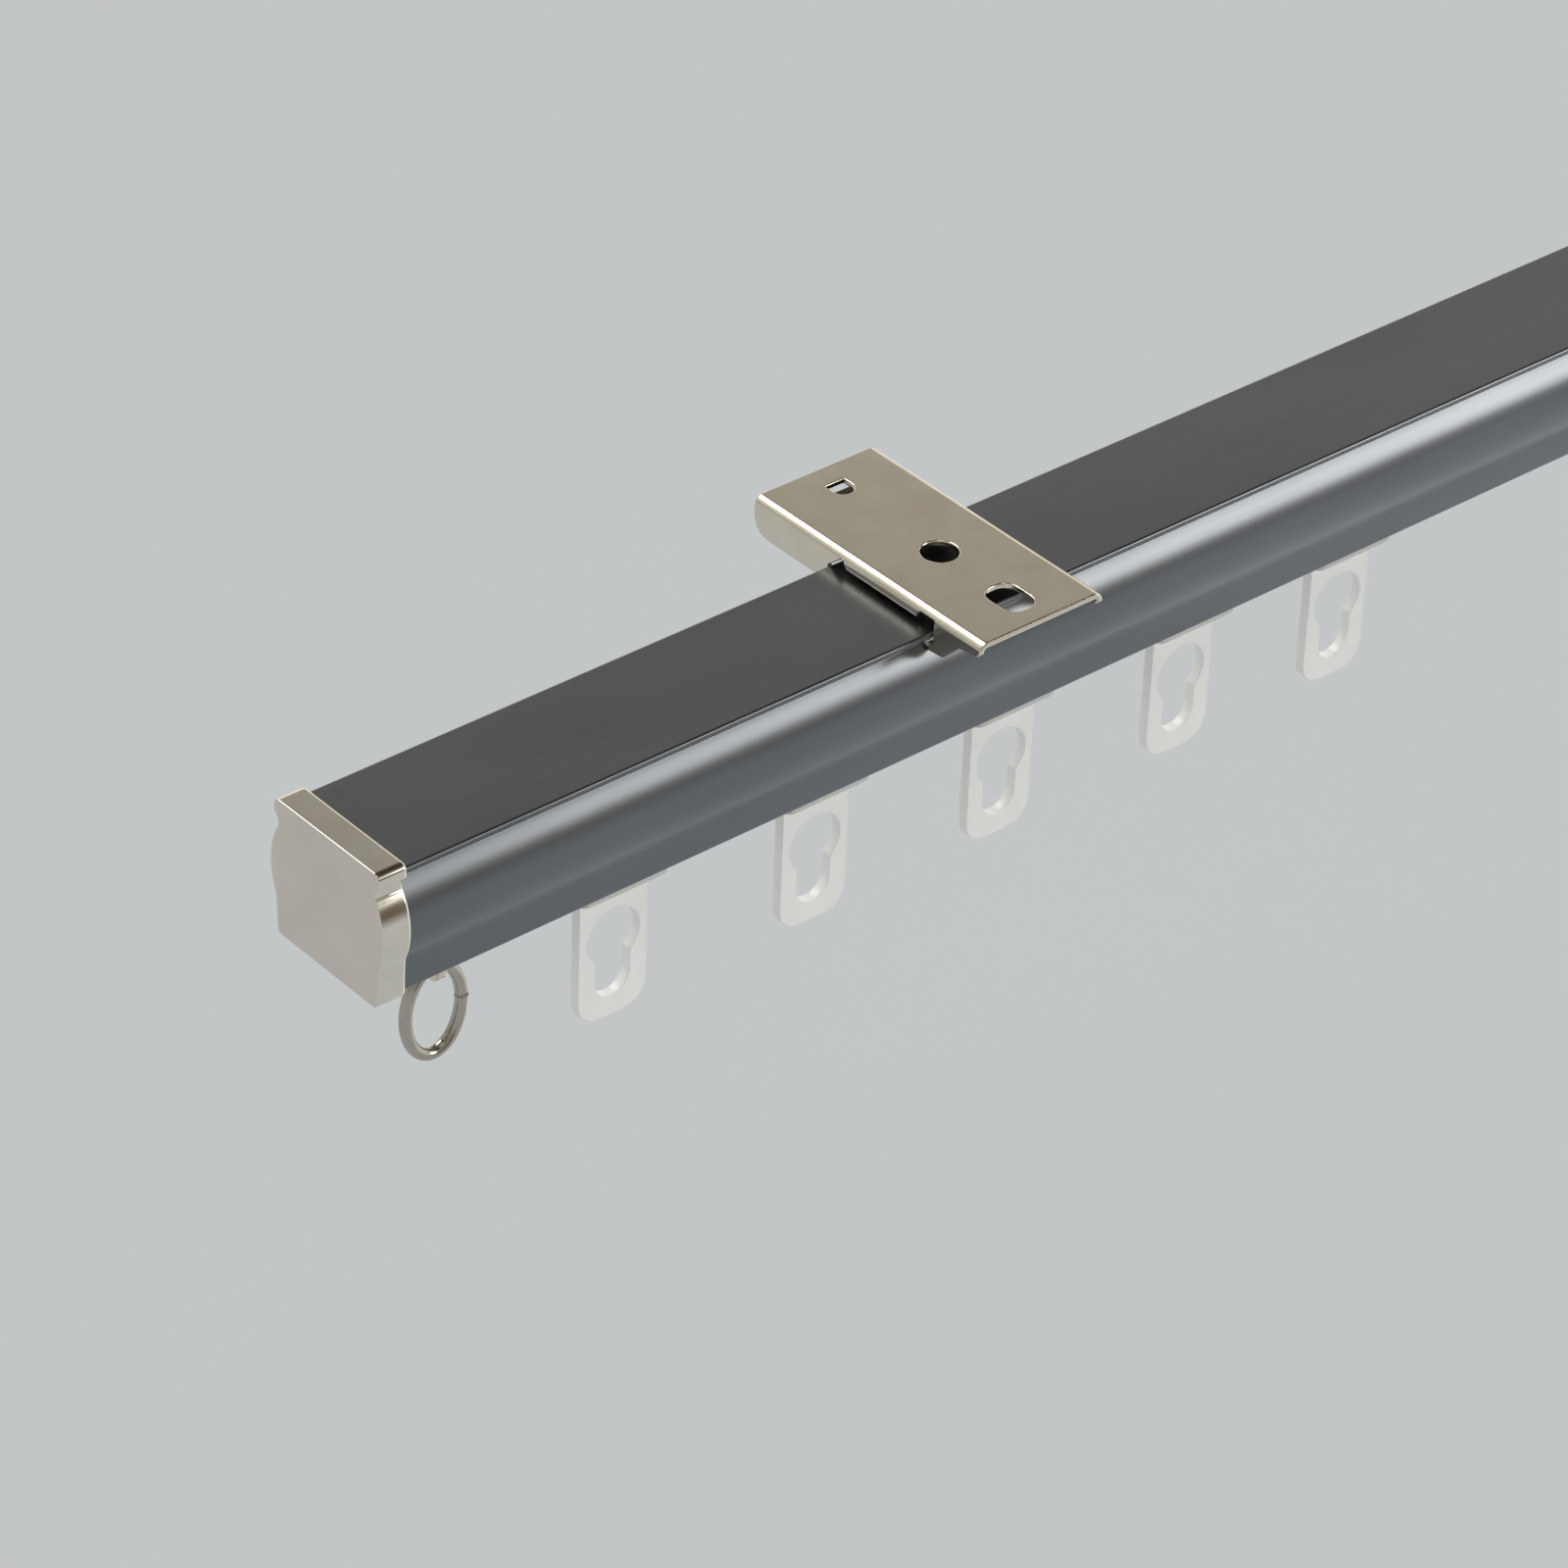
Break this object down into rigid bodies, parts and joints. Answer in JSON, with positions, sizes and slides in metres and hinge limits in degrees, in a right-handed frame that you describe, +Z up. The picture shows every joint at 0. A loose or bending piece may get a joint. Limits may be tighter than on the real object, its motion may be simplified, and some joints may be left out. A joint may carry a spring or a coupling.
{
  "type": "curtain track",
  "caption": "Ceiling curtain track: dark channel on clip-on brackets, with capped ends, end stops with rings, and wheeled runners with keyhole eyes.",
  "frame": {"origin": "midway between the two brackets' middle screw holes, in the plane of the brackets' tops", "axes": "+X along the track, from the end in view to the far end; +Y across it, towards the back, away from the viewer; +Z up, into the ceiling"},
  "size_m": [0.3596, 0.0425, 0.0467],
  "materials": {
    "channel": "dark grey anodised, satin",
    "cap": "nickel plated, satin face and polished rim",
    "bracket": "nickel plated pressed steel, satin",
    "steel": "spring steel, black phosphated",
    "ring": "nickel plated wire, polished",
    "block": "zinc alloy, as cast",
    "plate": "nickel plated, satin",
    "screw": "zinc plated",
    "runner": "white acetal, moulded",
    "axle": "bright steel pin",
    "wheel": "white acetal, moulded"
  },
  "bodies": {
    "root": {"rail": "channel", "end_cap_near": "cap", "end_cap_far": "cap", "bracket_near": "bracket", "bracket_far": "bracket", "stop_block_near": "block", "stop_block_far": "block", "stop_plate_near": "plate", "stop_plate_far": "plate", "stop_screw_near": "screw", "stop_screw_far": "screw"},
    "lock_near": {"lock_slide_near": "steel"},
    "lock_far": {"lock_slide_far": "steel"},
    "ring_near": {"end_ring_near": "ring"},
    "ring_far": {"end_ring_far": "ring"},
    "runner_1": {"runner_1_body": "runner"},
    "runner_1_wheels": {"runner_1_axle": "axle", "runner_1_wheel_front": "wheel", "runner_1_wheel_back": "wheel"},
    "runner_2": {"runner_2_body": "runner"},
    "runner_2_wheels": {"runner_2_axle": "axle", "runner_2_wheel_front": "wheel", "runner_2_wheel_back": "wheel"},
    "runner_3": {"runner_3_body": "runner"},
    "runner_3_wheels": {"runner_3_axle": "axle", "runner_3_wheel_front": "wheel", "runner_3_wheel_back": "wheel"},
    "runner_4": {"runner_4_body": "runner"},
    "runner_4_wheels": {"runner_4_axle": "axle", "runner_4_wheel_front": "wheel", "runner_4_wheel_back": "wheel"},
    "runner_5": {"runner_5_body": "runner"},
    "runner_5_wheels": {"runner_5_axle": "axle", "runner_5_wheel_front": "wheel", "runner_5_wheel_back": "wheel"}
  },
  "joints": [
    {"name": "lock_near_release", "type": "slide", "parent": "root", "child": "lock_near", "axis": [0, 1, 0], "range_m": [0, 0.002]},
    {"name": "lock_far_release", "type": "slide", "parent": "root", "child": "lock_far", "axis": [0, 1, 0], "range_m": [0, 0.002]},
    {"name": "ring_near_swing", "type": "hinge", "parent": "root", "child": "ring_near", "pos_m": [-0.1641, -0.0006, -0.0274], "axis": [1, 0, 0], "range_deg": [-100, 100]},
    {"name": "ring_far_swing", "type": "hinge", "parent": "root", "child": "ring_far", "pos_m": [0.1641, -0.0006, -0.0274], "axis": [1, 0, 0], "range_deg": [-100, 100]},
    {"name": "runner_1_slide", "type": "slide", "parent": "root", "child": "runner_1", "axis": [1, 0, 0], "range_m": [-0.0141, 0.0183]},
    {"name": "runner_1_wheels_spin", "type": "hinge", "parent": "runner_1", "child": "runner_1_wheels", "pos_m": [-0.1371, -0.0006, -0.01475], "axis": [0, 1, 0], "continuous": true},
    {"name": "runner_2_slide", "type": "slide", "parent": "root", "child": "runner_2", "axis": [1, 0, 0], "range_m": [-0.0183, 0.0172]},
    {"name": "runner_2_wheels_spin", "type": "hinge", "parent": "runner_2", "child": "runner_2_wheels", "pos_m": [-0.1048, -0.0006, -0.01475], "axis": [0, 1, 0], "continuous": true},
    {"name": "runner_3_slide", "type": "slide", "parent": "root", "child": "runner_3", "axis": [1, 0, 0], "range_m": [-0.0172, 0.0174]},
    {"name": "runner_3_wheels_spin", "type": "hinge", "parent": "runner_3", "child": "runner_3_wheels", "pos_m": [-0.0736, -0.0006, -0.01475], "axis": [0, 1, 0], "continuous": true},
    {"name": "runner_4_slide", "type": "slide", "parent": "root", "child": "runner_4", "axis": [1, 0, 0], "range_m": [-0.0174, 0.0145]},
    {"name": "runner_4_wheels_spin", "type": "hinge", "parent": "runner_4", "child": "runner_4_wheels", "pos_m": [-0.0422, -0.0006, -0.01475], "axis": [0, 1, 0], "continuous": true},
    {"name": "runner_5_slide", "type": "slide", "parent": "root", "child": "runner_5", "axis": [1, 0, 0], "range_m": [-0.0145, 0.1649]},
    {"name": "runner_5_wheels_spin", "type": "hinge", "parent": "runner_5", "child": "runner_5_wheels", "pos_m": [-0.0137, -0.0006, -0.01475], "axis": [0, 1, 0], "continuous": true}
  ]
}
